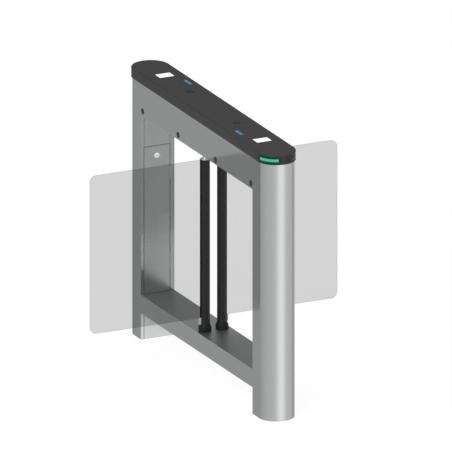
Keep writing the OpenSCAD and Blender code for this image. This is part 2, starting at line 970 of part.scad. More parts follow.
// Carries a shape along Z to the corners of the board, pointing into the post
module at_board_holes() {
    for (x = [board_x0 + board_hole_inset, board_x1 - board_hole_inset])
        for (z = [board_z0 + board_hole_inset, board_z0 + board_h - board_hole_inset])
            translate([x, 0, z]) rotate([-90, 0, 0]) children();
}

// Pillars from the wall, each with a stud through the board
module board_standoffs() {
    color(brass_share) at_board_holes() {
        rod(2 * standoff_r, -inner_r, board_y0);
        rod(2 * (m4_r - fit_gap), -inner_r, board_y0 + board_t + over);
    }
}

// A power supply on the right wall of the front post, with its terminals on top
module power_supply() {
    top_z = board_z0 + supply_h;
    color(silver_share) half_turn() {
        span([board_x0, -inner_r, board_z0], [board_x1, -inner_r + supply_t, top_z]);
        span([board_x0 + board_margin, -inner_r, top_z],
            [board_x1 - board_margin, -inner_r + supply_terminal_t, top_z + supply_terminal_h]);
    }
}

// A photo sensor: a dome outside, and a threaded barrel with its nut inside
module photo_sensor() {
    rotate_extrude() intersection() {
        translate([0, sensor_dome_h - sensor_sphere_r]) circle(r = sensor_sphere_r);
        square([sensor_d / 2, sensor_dome_h]);
    }
    rod(sensor_thread_d, -sensor_len, 0);
    translate([0, 0, -sheet_t - sensor_nut_t]) cylinder(d = sensor_nut_d, h = sensor_nut_t, $fn = 6);
}

module photo_sensors() {
    color(dark_share) for (turn = [0, 180]) rotate([0, 0, turn]) for (s = [-1, 1]) for (x = sensor_xs)
        translate([s * x, body_r, sensor_z]) rotate([-90, 0, 0]) photo_sensor();
}

// Screws up through the cabinet's top flange into the lid's bosses
module lid_screws() {
    color(silver_share) at_lid_screws() translate([0, 0, body_h - sheet_t]) mirror([0, 0, 1])
        cap_screw(m4_r, lid_screw_len, m4_head_r, m4_head_h);
}

// Half of the lid's cross section
module lid_profile() {
    square([lid_r - lid_edge_r, lid_h]);
    square([lid_r, lid_h - lid_edge_r]);
    translate([lid_r - lid_edge_r, lid_h - lid_edge_r]) circle(r = lid_edge_r);
}

// The lid's solid outer shape
module lid_block() {
    translate([0, 0, body_h]) {
        for (s = [-1, 1]) translate([s * straight_half, 0, 0]) rotate_extrude() lid_profile();
        translate([-straight_half, 0, 0]) rotate([90, 0, 90]) linear_extrude(2 * straight_half) {
            lid_profile();
            mirror([1, 0]) lid_profile();
        }
    }
}

// A window, indicator or lens opening, at a half turn's two places
module at_both_ends(x, y) {
    for (turn = [0, 180]) rotate([0, 0, turn]) translate([x, y, 0]) children();
}

// A box about Z, longer along X
module pad(len, w, z0, z1) {
    span([-len / 2, -w / 2, z0], [len / 2, w / 2, z1]);
}

// A bar with round ends about Z
module bar(len, w, z0, z1) {
    translate([0, 0, z0]) linear_extrude(z1 - z0) stadium((len - w) / 2, w / 2);
}

module at_front_lights() {
    translate([straight_half, 0, 0]) {
        children();
        mirror([0, 1, 0]) children();
    }
}

// A moulded lid: a thin shell with screw bosses, framed openings and recessed lane lights
module lid_cover() {
    color(black_share) difference() {
        union() {
            difference() {
                lid_block();
                translate([0, 0, body_h - over]) linear_extrude(lid_under - body_h + over)
                    stadium(straight_half, lid_in_r);
            }
            at_lid_screws() rod(2 * lid_boss_r, body_h, lid_under + over);
            at_both_ends(reader_x, 0) pad(reader_len + 2 * frame_w, reader_w + 2 * frame_w,
                lid_under - frame_t, lid_under + over);
        }
        at_lid_screws() rod(2 * (m4_r + fit_gap), body_h - over, body_h + lid_screw_len + lid_screw_end_gap);
        at_both_ends(reader_x, 0) {
            pad(reader_len + 2 * fit_gap, reader_w + 2 * fit_gap, lid_under, lid_top + over);
            pad(reader_len - 2 * ledge_w, reader_w - 2 * ledge_w, lid_under - frame_t - over, lid_top);
        }
        at_both_ends(indicator_x, -indicator_side)
            bar(indicator_len + 2 * fit_gap, indicator_w + 2 * fit_gap, lid_under - over, lid_top + over);
        at_both_ends(lens_x, 0) rod(lens_d + 2 * fit_gap, lid_under - over, lid_top + over);
        for (turn = [0, 180]) rotate([0, 0, turn]) at_front_lights() {
            ring_sector(lid_in_r - over, lid_r, light_z0 - fit_gap, light_z1 + fit_gap,
                light_a0 - light_gap_a, light_a1 + light_gap_a);
            ring_sector(lid_r - recess_depth, lid_r + over, recess_z0, recess_z1, recess_a0, recess_a1);
        }
    }
}

module reader_window() {
    translate([reader_x, 0, 0]) pad(reader_len, reader_w, lid_under, lid_top - reader_sink);
}

module rear_reader_window() {
    color(white_share) half_turn() reader_window();
}

module front_reader_window() {
    color(white_share) reader_window();
}

// A card reader hung under the frame of its window
module card_reader() {
    translate([reader_x, 0, 0]) {
        pad(reader_len + 2 * frame_w, reader_w + 2 * frame_w,
            lid_under - frame_t - card_reader_t, lid_under - frame_t);
    }
}

module rear_card_reader() {
    color(dark_share) half_turn() card_reader();
}

module front_card_reader() {
    color(dark_share) card_reader();
}

// A light guide flush with the lid's top, held by a flange under it
module indicator_bar() {
    translate([indicator_x, -indicator_side, 0]) {
        bar(indicator_len, indicator_w, lid_under - flange_t, lid_top);
        bar(indicator_len + 2 * flange_out, indicator_w + 2 * flange_out, lid_under - flange_t, lid_under);
    }
}

module rear_indicator_bar() {
    color(blue_share) half_turn() indicator_bar();
}

module front_indicator_bar() {
    color(blue_share) indicator_bar();
}

// Two smoked round lenses, each a little below the lid's top
module round_lenses() {
    color(dark_share) at_both_ends(lens_x, 0) {
        rod(lens_d, lid_under - flange_t, lid_top - lens_sink);
        rod(lens_d + 2 * flange_out, lid_under - flange_t, lid_under);
    }
}

// A curved light guide in the lid's end, for the front end's right-hand side
module lane_light() {
    translate([straight_half, 0, 0]) {
        ring_sector(lid_in_r, lid_r - light_sink, light_z0, light_z1, light_a0, light_a1);
        ring_sector(lid_in_r - flange_t, lid_in_r, light_z0 - flange_out, light_z1 + flange_out,
            light_a0 - light_flange_a, light_a1 + light_flange_a);
    }
}

module front_right_light() {
    color(dark_share) lane_light();
}

module front_left_light() {
    color(green_share) mirror([0, 1, 0]) lane_light();
}

module rear_left_light() {
    color(dark_share) half_turn() lane_light();
}

module rear_right_light() {
    color(dark_share) half_turn() mirror([0, 1, 0]) lane_light();
}

left_side_panel();
right_side_panel();
rear_end_shell();
front_end_shell();
upper_beam_soffit();
lower_beam_deck();
lower_beam_floor();
rear_jamb_panel();
front_jamb_panel();
rear_base_plate();
front_base_plate();
drive_plate();
motor_bridge();
left_gear_motor();
right_gear_motor();
left_upper_bearing();
right_upper_bearing();
left_lower_bearing();
right_lower_bearing();
left_brake();
right_brake();
control_board();
board_standoffs();
power_supply();
photo_sensors();
drive_screws();
lid_screws();
door_hinge_pins();
lid_cover();
rear_reader_window();
front_reader_window();
rear_card_reader();
front_card_reader();
rear_indicator_bar();
front_indicator_bar();
round_lenses();
rear_left_light();
rear_right_light();
front_left_light();
front_right_light();
left_pole();
right_pole();
left_glass_panel();
right_glass_panel();
left_support_block();
right_support_block();
left_drive_shaft();
right_drive_shaft();
left_drive_gear();
right_drive_gear();
left_pole_foot();
right_pole_foot();
left_pinion();
right_pinion();
rear_service_door();
front_service_door();
rear_door_lock();
front_door_lock();
rear_lock_cam();
front_lock_cam();
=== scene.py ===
import math

import bmesh
import bpy
from mathutils import Matrix, Vector


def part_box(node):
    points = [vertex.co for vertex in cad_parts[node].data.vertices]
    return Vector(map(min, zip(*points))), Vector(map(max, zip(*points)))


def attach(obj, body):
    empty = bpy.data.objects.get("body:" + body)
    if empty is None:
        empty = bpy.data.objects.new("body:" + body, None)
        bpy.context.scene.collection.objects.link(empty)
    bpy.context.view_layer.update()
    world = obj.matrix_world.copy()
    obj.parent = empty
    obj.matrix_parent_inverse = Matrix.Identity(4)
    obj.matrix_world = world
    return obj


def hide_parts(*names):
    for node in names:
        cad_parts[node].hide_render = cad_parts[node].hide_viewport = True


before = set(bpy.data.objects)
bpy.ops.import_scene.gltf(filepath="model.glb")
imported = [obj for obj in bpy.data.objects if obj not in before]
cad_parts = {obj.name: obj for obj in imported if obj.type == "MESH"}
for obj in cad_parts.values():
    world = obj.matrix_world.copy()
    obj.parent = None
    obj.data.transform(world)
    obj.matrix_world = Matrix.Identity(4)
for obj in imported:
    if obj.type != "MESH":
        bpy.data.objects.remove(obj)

# The camera looks down on the front left corner from far off, so upright edges stay upright
# and parallel edges stay parallel. Its frame is as wide as the photograph's.
camera_turn = math.radians(64.587)
camera_height = math.radians(18.404)
camera_target = Vector((-0.134, 0.114, 0.510))
camera_distance = 5
frame_width = 1.6408
camera_back = Vector((
    math.sin(camera_turn) * math.cos(camera_height),
    -math.cos(camera_turn) * math.cos(camera_height),
    math.sin(camera_height)))
camera_data = bpy.data.cameras.new("camera")
camera_data.type = "ORTHO"
camera_data.ortho_scale = frame_width
camera_data.clip_end = 8 * camera_distance
camera = bpy.data.objects.new("camera", camera_data)
camera.location = camera_target + camera_distance * camera_back
camera.rotation_euler = (math.pi / 2 - camera_height, 0, camera_turn)
bpy.context.scene.collection.objects.link(camera)
bpy.context.scene.camera = camera
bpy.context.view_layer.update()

# Folded stainless steel sheets: the two long sides, the beams' cross sheets, and the inner faces
# of the posts with their service doors. They are 1.5 mm sheet with a fine brushed grain that runs
# level round the cabinet, and along it on the flat deck.
mm = 0.001


def new_finish(name):
    finish = bpy.data.materials.new(name)
    finish.use_nodes = True
    return finish, finish.node_tree, finish.node_tree.nodes["Principled BSDF"]


def connect(tree, node, inputs):
    """Links each named input of a node to a socket, or sets it to a plain value."""
    for key, value in inputs.items():
        if isinstance(value, bpy.types.NodeSocket):
            tree.links.new(value, node.inputs[key])
        else:
            node.inputs[key].default_value = value
    return node


def add_node(tree, kind, inputs, **settings):
    """Adds a node. Its settings come first, because they decide which inputs it has."""
    node = tree.nodes.new(kind)
    for name, value in settings.items():
        setattr(node, name, value)
    return connect(tree, node, inputs)


def sum_node(tree, operation, *values):
    """One sum on sockets and plain numbers."""
    return add_node(tree, "ShaderNodeMath", dict(enumerate(values)), operation=operation).outputs["Value"]


def own_place(tree):
    """Where a point lies on the piece, which stays the same when the piece moves."""
    return add_node(tree, "ShaderNodeTexCoord", {}).outputs["Object"]


def speckle(tree, scale, detail):
    """Noise that is fixed to the piece. A larger scale makes it finer."""
    noise = add_node(tree, "ShaderNodeTexNoise", {
        "Vector": own_place(tree), "Scale": scale, "Detail": detail})
    return noise.outputs["Fac"]


def spread(tree, value, least, most):
    """Maps nought to one onto least to most."""
    span = add_node(tree, "ShaderNodeMapRange", {"Value": value, "To Min": least, "To Max": most})
    return span.outputs["Result"]


def brushed_steel(name, grain_scale, shade, roughness):
    """Steel whose grain shows in its tone, its gloss and its relief, over faint clouds."""
    steel, tree, shader = new_finish(name)
    along = add_node(tree, "ShaderNodeMapping", {"Vector": own_place(tree), "Scale": grain_scale})
    grain = add_node(tree, "ShaderNodeTexNoise", {
        "Vector": along.outputs["Vector"], "Scale": 1.0, "Detail": 3.0, "Roughness": 0.6}).outputs["Fac"]
    tone = spread(tree, grain, 0.93, 1.07)
    colour = add_node(tree, "ShaderNodeVectorMath", {0: shade, "Scale": tone}, operation="SCALE")
    clouded = sum_node(tree, "MULTIPLY_ADD", speckle(tree, 7.0, 2.0), 0.5, grain)
    dull = add_node(tree, "ShaderNodeMapRange", {
        "Value": clouded, "From Min": 0.4, "From Max": 1.1,
        "To Min": roughness - 0.03, "To Max": roughness + 0.05})
    lines = add_node(tree, "ShaderNodeBump", {"Height": grain, "Strength": 0.04, "Distance": 0.00005})
    connect(tree, shader, {"Metallic": 1.0, "Base Color": colour.outputs["Vector"],
                           "Roughness": dull.outputs["Result"], "Normal": lines.outputs["Normal"]})
    return steel


def finish_nodes(material, *names):
    for name in names:
        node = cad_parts[name]
        node.data.materials.clear()
        node.data.materials.append(material)


sheet_shade = (0.615, 0.632, 0.632)
deck_shade = (0.585, 0.600, 0.600)
level_lines, long_lines = (6, 6, 2200), (6, 2200, 6)
level_grain = brushed_steel("stainless_level_grain", level_lines, sheet_shade, 0.13)
long_grain = brushed_steel("stainless_long_grain", long_lines, sheet_shade, 0.13)
door_grain = brushed_steel("stainless_door_grain", level_lines, sheet_shade, 0.24)
deck_grain = brushed_steel("stainless_deck_grain", long_lines, deck_shade, 0.40)
finish_nodes(level_grain, "left_side_panel", "right_side_panel")
finish_nodes(door_grain, "rear_jamb_panel", "front_jamb_panel", "rear_service_door", "front_service_door")
finish_nodes(long_grain, "upper_beam_soffit", "lower_beam_floor")
finish_nodes(deck_grain, "lower_beam_deck")

# The round ends of the cabinet: half-round skins rolled from the same sheet, with a narrow flange
# turned in at the top for the lid's screws. The rolled sheet meets the sides without a step.
end_x = 530 * mm
skin_r = 67.5 * mm
skin_t = 1.5 * mm
skin_top = 982 * mm
flange_in = 13.5 * mm
smooth_turn = math.radians(30)


def turn_verts(bm, verts, angle, axis="Z"):
    bmesh.ops.rotate(bm, verts=verts, cent=(0, 0, 0), matrix=Matrix.Rotation(angle, 3, axis))


def new_piece(bm, name, body, material, stands_for=()):
    """Makes a piece that moves with a body and may stand for some of its nodes."""
    bmesh.ops.remove_doubles(bm, verts=bm.verts, dist=1e-6)
    bmesh.ops.recalc_face_normals(bm, faces=bm.faces)
    mesh = bpy.data.meshes.new(name)
    bm.to_mesh(mesh)
    bm.free()
    mesh.materials.append(material)
    mesh.shade_smooth()
    mesh.set_sharp_from_angle(angle=smooth_turn)
    piece = bpy.data.objects.new(name, mesh)
    bpy.context.scene.collection.objects.link(piece)
    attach(piece, body)
    for node in stands_for:
        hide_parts(node)
    return piece


def spun_profile(bm, points, centre, turn, steps, start=0.0):
    """Spins a closed profile of (radius, height) points about an upright axis."""
    verts = [bm.verts.new((r, 0, z)) for r, z in points]
    edges = [bm.edges.new((a, b)) for a, b in zip(verts, verts[1:] + verts[:1])]
    turn_verts(bm, verts, start)
    bmesh.ops.translate(bm, verts=verts, vec=centre)
    full = abs(turn - 2 * math.pi) < 1e-6
    if not full:
        bmesh.ops.contextual_create(bm, geom=edges)
    last = bmesh.ops.spin(bm, geom=edges, cent=centre, axis=(0, 0, 1), dvec=(0, 0, 0), angle=turn,
                          steps=steps, use_merge=full, use_duplicate=False)["geom_last"]
    if not full:
        bmesh.ops.contextual_create(bm, geom=[e for e in last if isinstance(e, bmesh.types.BMEdge)])


for end, side, turn in (("rear", -1, math.pi / 2), ("front", 1, -math.pi / 2)):
    bm = bmesh.new()
    spun_profile(bm, [(skin_r, 0), (skin_r, skin_top), (skin_r - flange_in, skin_top),
                      (skin_r - flange_in, skin_top - skin_t), (skin_r - skin_t, skin_top - skin_t),
                      (skin_r - skin_t, 0)], Vector((side * end_x, 0, 0)), math.pi, 72, turn)
    new_piece(bm, end + "_end_skin", "cabinet", level_grain, [end + "_end_shell"])

# The open seams of the posts' inner faces are filled with a black rubber sealing strip. It runs up
# both edges, beside the door's hinges, and over and under the door, and round the door it has a
# narrow lip that lies on the fixed side of the seam.
seal_face = 472 * mm
seal_depth = 1.1 * mm
seal_sunk = 0.95 * mm
seam_w = 1 * mm
seal_low, seal_high = 1 * mm, 980 * mm
free_y, hinge_y = (-55 * mm, -54 * mm), (48.5 * mm, 49.5 * mm)
door_low, door_high = 173 * mm, 732.5 * mm
beside_hinges = ((1, 252), (304, 601.5), (653.5, 980))
lip, lip_proud = 1.0 * mm, 0.55 * mm
lip_over, lip_gap = 0.8 * mm, 0.2 * mm


def tone_ramp(tree, value, low, low_shade, high, high_shade):
    ramp = add_node(tree, "ShaderNodeValToRGB", {"Fac": value})
    stops = ramp.color_ramp.elements
    stops[0].position, stops[0].color = low, (*low_shade, 1)
    stops[1].position, stops[1].color = high, (*high_shade, 1)
    return ramp.outputs["Color"]


def sized_block(bm, size, middle):
    block = bmesh.ops.create_cube(bm, size=1)["verts"]
    bmesh.ops.scale(bm, verts=block, vec=size)
    bmesh.ops.translate(bm, verts=block, vec=middle)


def ease_edges(bm, edges, width, steps):
    bmesh.ops.bevel(bm, geom=edges, offset=width, offset_type="OFFSET", segments=steps, profile=0.5,
                    affect="EDGES", material=-1)


seal_black, tree, shader = new_finish("seal_black")
crumb = tone_ramp(tree, speckle(tree, 700, 2.0), 0.0, (0.006, 0.006, 0.006), 1.0, (0.016, 0.016, 0.016))
connect(tree, shader, {"Base Color": crumb, "Roughness": 0.8, "Specular IOR Level": 0.25})
strips = [(*free_y, seal_low, seal_high, 0), (free_y[1], hinge_y[0], door_high, door_high + seam_w, 0),
          (free_y[1], hinge_y[0], door_low - seam_w, door_low, 0)]
strips += [(*hinge_y, low * mm, high * mm, 0) for low, high in beside_hinges]
strips += [(free_y[0] - lip, free_y[0] + lip_over, seal_low, door_high + seam_w, lip_proud),
           (hinge_y[1] - lip_gap, hinge_y[1] + lip, door_low - seam_w, door_high + seam_w, lip_proud),
           (free_y[0], hinge_y[1], door_high + lip_gap, door_high + seam_w + lip, lip_proud)]
for end, turn in (("rear", 0), ("front", math.pi)):
    bm = bmesh.new()
    for y0, y1, z0, z1, proud in strips:
        sized_block(bm, (seal_depth, y1 - y0, z1 - z0),
                    (proud - seal_face - seal_sunk, (y0 + y1) / 2, (z0 + z1) / 2))
    ease_edges(bm, list(bm.edges), 0.12 * mm, 1)
    turn_verts(bm, bm.verts, turn)
    new_piece(bm, end + "_seam_seals", "cabinet", seal_black)

# The working parts inside the cabinet are plain machined and plated steel, aluminium and brass:
# floor plates, the drive plate and bridge, bearings, gears, screws, hinge pins and lock cams.
def plain_metal(name, shade, roughness, speck):
    metal, tree, shader = new_finish(name)
    mottle = speckle(tree, speck, 4.0)
    connect(tree, shader, {
        "Metallic": 1.0, "Base Color": tone_ramp(tree, mottle, 0.3, [0.88 * c for c in shade], 0.7, shade),
        "Roughness": spread(tree, mottle, roughness - 0.05, roughness + 0.08)})
    return metal


zinc_plate = plain_metal("zinc_plate", (0.58, 0.59, 0.60), 0.34, 90)
machined_aluminium = plain_metal("machined_aluminium", (0.76, 0.77, 0.78), 0.30, 160)
polished_steel = plain_metal("polished_steel", (0.80, 0.80, 0.81), 0.12, 60)
cut_brass = plain_metal("cut_brass", (0.78, 0.62, 0.30), 0.26, 120)
finish_nodes(zinc_plate, "rear_base_plate", "front_base_plate", "motor_bridge", "drive_screws", "lid_screws",
             "door_hinge_pins", "rear_lock_cam", "front_lock_cam", "left_drive_gear", "right_drive_gear")
finish_nodes(machined_aluminium, "drive_plate", "power_supply")
finish_nodes(polished_steel, "left_upper_bearing", "right_upper_bearing", "left_lower_bearing",
             "right_lower_bearing")
finish_nodes(cut_brass, "left_pinion", "right_pinion", "board_standoffs")

# Gear motors and holding brakes have a satin black baked paint, and the circuit board is green
# lacquer over copper tracks.
def satin_coat(name, shade, roughness, specular, grain, depth):
    """Paint, lacquer or moulded plastic with a fine grain of the given depth."""
    coat, tree, shader = new_finish(name)
    peel = speckle(tree, grain, 3.0)
    dimple = add_node(tree, "ShaderNodeBump", {"Height": peel, "Strength": 0.25, "Distance": depth})
    connect(tree, shader, {
        "Specular IOR Level": specular,
        "Base Color": tone_ramp(tree, peel, 0.25, [0.82 * c for c in shade], 0.75, [1.12 * c for c in shade]),
        "Roughness": spread(tree, peel, roughness - 0.04, roughness + 0.05),
        "Normal": dimple.outputs["Normal"]})
    return coat


motor_paint = satin_coat("motor_paint", (0.030, 0.030, 0.032), 0.42, 0.5, 900, 0.00004)
board_lacquer = satin_coat("board_lacquer", (0.03, 0.16, 0.07), 0.30, 0.5, 260, 0.00005)
finish_nodes(motor_paint, "left_gear_motor", "right_gear_motor", "left_brake", "right_brake")
finish_nodes(board_lacquer, "control_board")

# Photo sensors: eight black domed lenses, each with a thin flange outside, a threaded barrel
# through the sheet and a hexagon nut behind it.
sensor_x = (-458 * mm, -158 * mm, 158 * mm, 458 * mm)
sensor_face = 67.5 * mm
sensor_z = 877 * mm
nut_r, nut_t, nut_behind = 13 * mm, 5 * mm, 4 * mm
thread_pitch = 2.2
dome_profile = [(0, 4.0), (2.6, 3.86), (5.2, 3.42), (7.4, 2.72), (9.2, 1.8), (9.7, 1.4), (11.1, 1.2),
                (11.5, 0.8), (11.5, 0), (9, 0)]
for thread in range(9):
    dome_profile += [(9, -7.5 - thread_pitch * thread), (8.5, -8.6 - thread_pitch * thread)]
dome_profile += [(9, -28), (0, -28)]


def in_mm(points):
    return [(r * mm, z * mm) for r, z in points]


sensor_black = satin_coat("sensor_black", (0.030, 0.031, 0.032), 0.30, 0.5, 400, 0.00002)
bm = bmesh.new()
for turn in (0, math.pi):
    for x in sensor_x:
        old = set(bm.verts)
        spun_profile(bm, in_mm(dome_profile), Vector((0, 0, 0)), 2 * math.pi, 40)
        nut = bmesh.ops.create_cone(bm, cap_ends=True, segments=6, radius1=nut_r, radius2=nut_r, depth=nut_t)
        bmesh.ops.translate(bm, verts=nut["verts"], vec=(0, 0, -nut_behind))
        new = [v for v in bm.verts if v not in old]
        turn_verts(bm, new, math.pi / 2, "X")
        bmesh.ops.translate(bm, verts=new, vec=(x, -sensor_face, sensor_z))
        turn_verts(bm, new, turn)
new_piece(bm, "sensor_domes", "cabinet", sensor_black, ["photo_sensors"])

# The lid: a moulded black cover with a soft grain on top. It has a small round edge, openings for
# two readers, two indicator bars and two round lenses, and a shallow glossy recess at each side of
# both ends that takes the lane lights. The recess round the lit front left light glows faintly
# green: painted light that stands for the lamp's spill on it. Screws hold it by eight bosses.
lid_r = 72 * mm
lid_low = 982 * mm
lid_high = 1020 * mm
lid_edge = 5 * mm
lid_wall = 3 * mm
recess_low = 984.5 * mm
recess_high = 1014 * mm
recess_depth = 0.8 * mm
slot_low = 989.3 * mm
slot_high = 1004.7 * mm
recess_from, recess_to = math.radians(9), math.radians(90)
slot_from, slot_to = math.radians(17.6), math.radians(79.7)
reader_x, indicator_x, indicator_y, lens_x = 412 * mm, 302 * mm, 41 * mm, 198 * mm
reader_cut = (43.4 * mm, 58.4 * mm)
bar_half = 21.5 * mm
bar_cut_r = 7.2 * mm
lens_cut_r = 14.2 * mm


def glowing(material, colour, strength):
    connect(material.node_tree, material.node_tree.nodes["Principled BSDF"],
            {"Emission Color": (*colour, 1), "Emission Strength": strength})
    return material


def flat_sheet(bm, length, width, middle):
    sheet = bmesh.ops.create_grid(bm, x_segments=1, y_segments=1, size=0.5)["verts"]
    bmesh.ops.scale(bm, verts=sheet, vec=(length, width, 1))
    bmesh.ops.translate(bm, verts=sheet, vec=middle)
    return sheet


def round_ended_ring(bm, radius, middle, filled):
    """A ring with two straight sides and half-round ends, in the place of an indicator bar."""
    ring = bmesh.ops.create_circle(bm, cap_ends=filled, segments=32, radius=radius)["verts"]
    for v in ring:
        v.co.x += math.copysign(bar_half, v.co.x if abs(v.co.x) > 1e-9 else v.co.y)
    bmesh.ops.translate(bm, verts=ring, vec=middle)
    return ring


def pull_out(bm, faces, way):
    """Extrudes faces and moves the new ones, so that a sheet gets its thickness."""
    made = bmesh.ops.extrude_face_region(bm, geom=faces)["geom"]
    bmesh.ops.translate(bm, verts=[g for g in made if isinstance(g, bmesh.types.BMVert)], vec=way)


def soft_edges(piece, width):
    rounding = piece.modifiers.new("soft_edges", "BEVEL")
    rounding.width = width
    rounding.segments = 2
    rounding.limit_method = "ANGLE"
    rounding.angle_limit = math.radians(40)
    rounding.harden_normals = True


def lid_angle(face):
    """How far a face lies from the tip of its round end, or half a turn on the straight sides."""
    p = face.calc_center_median()
    return abs(math.atan2(p.y, abs(p.x) - end_x)) if abs(p.x) > end_x - 1e-5 else math.pi


def faces_between(bm, turn_from, turn_to, low, high):
    """The faces of the lid's round ends that lie between two turns and two heights."""
    return [f for f in bm.faces if turn_from < lid_angle(f) < turn_to
            and low < f.calc_center_median().z < high]


lid_black = satin_coat("lid_black", (0.044, 0.044, 0.044), 0.55, 0.38, 1400, 0.00005)
lid_end_black = satin_coat("lid_end_black", (0.010, 0.010, 0.010), 0.24, 0.5, 900, 0.00001)
recess_smoked = satin_coat("recess_smoked", (0.006, 0.006, 0.006), 0.14, 0.5, 700, 0.000005)
# The front left recess glows faintly green: painted light spilled from the lane light beside it.
recess_painted_green_glow = glowing(satin_coat("recess_painted_green_glow", (0.004, 0.010, 0.008), 0.30, 0.12, 700, 0.000005),
                     (0.001, 0.040, 0.020), 1.0)

bm = bmesh.new()
edge_turns = [math.radians(a) for a in (90, 75, 60, 45, 30, 15, 0)]
wall_points = [(lid_r, z) for z in (lid_low, recess_low, slot_low, slot_high, recess_high)]
wall_points += [(lid_r - lid_edge + lid_edge * math.sin(a), lid_high - lid_edge + lid_edge * math.cos(a))
                for a in edge_turns]
wall_points.append((lid_r - lid_edge - 2 * mm, lid_high))
column = [bm.verts.new((end_x, -r, z)) for r, z in wall_points]
chain = [bm.edges.new((a, b)) for a, b in zip(column, column[1:])]
straight_steps = 24
arcs = [(recess_to - slot_to, 3), (slot_to - slot_from, 18), (slot_from - recess_from, 4),
        (2 * recess_from, 6),
        (slot_from - recess_from, 4), (slot_to - slot_from, 18), (recess_to - slot_to, 3)]
for side in (1, -1):
    for angle, steps in arcs + [(0, straight_steps)]:
        run = (0, 0, 0) if angle else (-side * 2 * end_x / steps, 0, 0)
        made = bmesh.ops.spin(bm, geom=chain, cent=(side * end_x, 0, 0), axis=(0, 0, 1), dvec=run,
                              angle=angle, steps=steps, use_merge=False, use_duplicate=False)["geom_last"]
        chain = [g for g in made if isinstance(g, bmesh.types.BMEdge)]
bmesh.ops.remove_doubles(bm, verts=bm.verts, dist=2e-5)
bmesh.ops.recalc_face_normals(bm, faces=bm.faces)
on_top, on_end, in_smoked_recess, in_painted_glow_recess = range(4)
for f in bm.faces:
    end_wall = lid_angle(f) < math.pi / 2 and f.calc_center_median().z < lid_high - lid_edge
    f.material_index = on_end if end_wall else on_top
sunk = faces_between(bm, recess_from, recess_to, recess_low, recess_high)
made = bmesh.ops.extrude_face_region(bm, geom=sunk)["geom"]
bmesh.ops.delete(bm, geom=sunk, context="FACES")
for v in {g for g in made if isinstance(g, bmesh.types.BMVert)}:
    centre = Vector((math.copysign(end_x, v.co.x), 0, v.co.z))
    v.co = centre + (v.co - centre) * ((lid_r - recess_depth) / (v.co - centre).length)
# Faces of the front left recess take the painted green glow.
for f in [g for g in made if isinstance(g, bmesh.types.BMFace)]:
    p = f.calc_center_median()
    f.material_index = in_painted_glow_recess if p.x > 0 and p.y < 0 else in_smoked_recess
bmesh.ops.delete(bm, geom=faces_between(bm, slot_from, slot_to, slot_low, slot_high), context="FACES")
rim = [e for e in bm.edges if e.is_boundary and min(v.co.z for v in e.verts) > lid_high - 1e-6]
for side in (1, -1):
    window = flat_sheet(bm, *reader_cut, (side * reader_x, 0, lid_high))
    rim += list({e for v in window for e in v.link_edges})
    bmesh.ops.delete(bm, geom=list({f for v in window for f in v.link_faces}), context="FACES_ONLY")
    slot_ring = round_ended_ring(bm, bar_cut_r, (side * indicator_x, -side * indicator_y, lid_high), False)
    rim += list({e for v in slot_ring for e in v.link_edges})
    lens_ring = bmesh.ops.create_circle(bm, cap_ends=False, segments=48, radius=lens_cut_r)["verts"]
    bmesh.ops.translate(bm, verts=lens_ring, vec=(side * lens_x, 0, lid_high))
    rim += list({e for v in lens_ring for e in v.link_edges})
bmesh.ops.triangle_fill(bm, edges=rim, normal=(0, 0, 1), use_beauty=True)
lid_shell = new_piece(bm, "lid_shell", "lid", lid_black, ["lid_cover"])
for finish in (lid_end_black, recess_smoked, recess_painted_green_glow):
    lid_shell.data.materials.append(finish)
wall = lid_shell.modifiers.new("wall", "SOLIDIFY")
wall.thickness = lid_wall
wall.offset = -1
wall.use_even_offset = False
soft_edges(lid_shell, 0.35 * mm)

boss_x = (-418.7 * mm, -121.9 * mm, 121.9 * mm, 418.7 * mm)
boss_y = 60 * mm
boss_r, boss_ease, pilot_r = 4.5 * mm, 0.4 * mm, 2.2 * mm
boss_top, pilot_top = lid_high - 2 * mm, lid_low + 17 * mm
frame_length, frame_span, frame_rim, frame_t = 53 * mm, 68 * mm, 8 * mm, 3.4 * mm
frame_low = lid_high - 6 * mm
bm = bmesh.new()
for side in (1, -1):
    for x in boss_x:
        spun_profile(bm, [(pilot_r, lid_low), (boss_r - boss_ease, lid_low), (boss_r, lid_low + boss_ease),
                          (boss_r, boss_top), (0, boss_top), (0, pilot_top), (pilot_r, pilot_top)],
                     Vector((x, side * boss_y, 0)), 2 * math.pi, 24)
    rim_face = flat_sheet(bm, frame_length, frame_span, (side * reader_x, 0, frame_low))
    plate = list({f for v in rim_face for f in v.link_faces})
    ring = bmesh.ops.inset_region(bm, faces=plate, thickness=frame_rim, use_even_offset=True)["faces"]
    bmesh.ops.delete(bm, geom=plate, context="FACES_ONLY")
    pull_out(bm, ring, (0, 0, frame_t))
new_piece(bm, "lid_bosses", "lid", lid_black, ["lid_cover"])

# The two readers: an opal white window that sits in each framed opening, with a matt black card
# reader hung under it. The window glows faintly white: painted light that keeps it bright.
pane_size = (43 * mm, 58 * mm, 2.7 * mm)
pane_middle = lid_high - 1.65 * mm
pane_corner, pane_ease = 1.2 * mm, 0.5 * mm
# The window's faint white glow is painted light, not a lamp.
opal_white_painted_glow = glowing(satin_coat("opal_white_painted_glow", (0.86, 0.86, 0.86), 0.30, 0.4, 700, 0.000002), (1, 1, 1), 0.4)
reader_case = satin_coat("reader_case", (0.020, 0.020, 0.021), 0.62, 0.4, 1600, 0.00006)
finish_nodes(reader_case, "rear_card_reader", "front_card_reader")
for end, side in (("rear", -1), ("front", 1)):
    bm = bmesh.new()
    sized_block(bm, pane_size, (side * reader_x, 0, pane_middle))
    upright = [e for e in bm.edges if abs(e.verts[0].co.z - e.verts[1].co.z) > 1 * mm]
    ease_edges(bm, upright, pane_corner, 4)
    top_edges = [e for e in bm.edges if min(v.co.z for v in e.verts) > lid_high - 0.5 * mm]
    ease_edges(bm, top_edges, pane_ease, 3)
    new_piece(bm, end + "_window_pane", "lid", opal_white_painted_glow, [end + "_reader_window"])

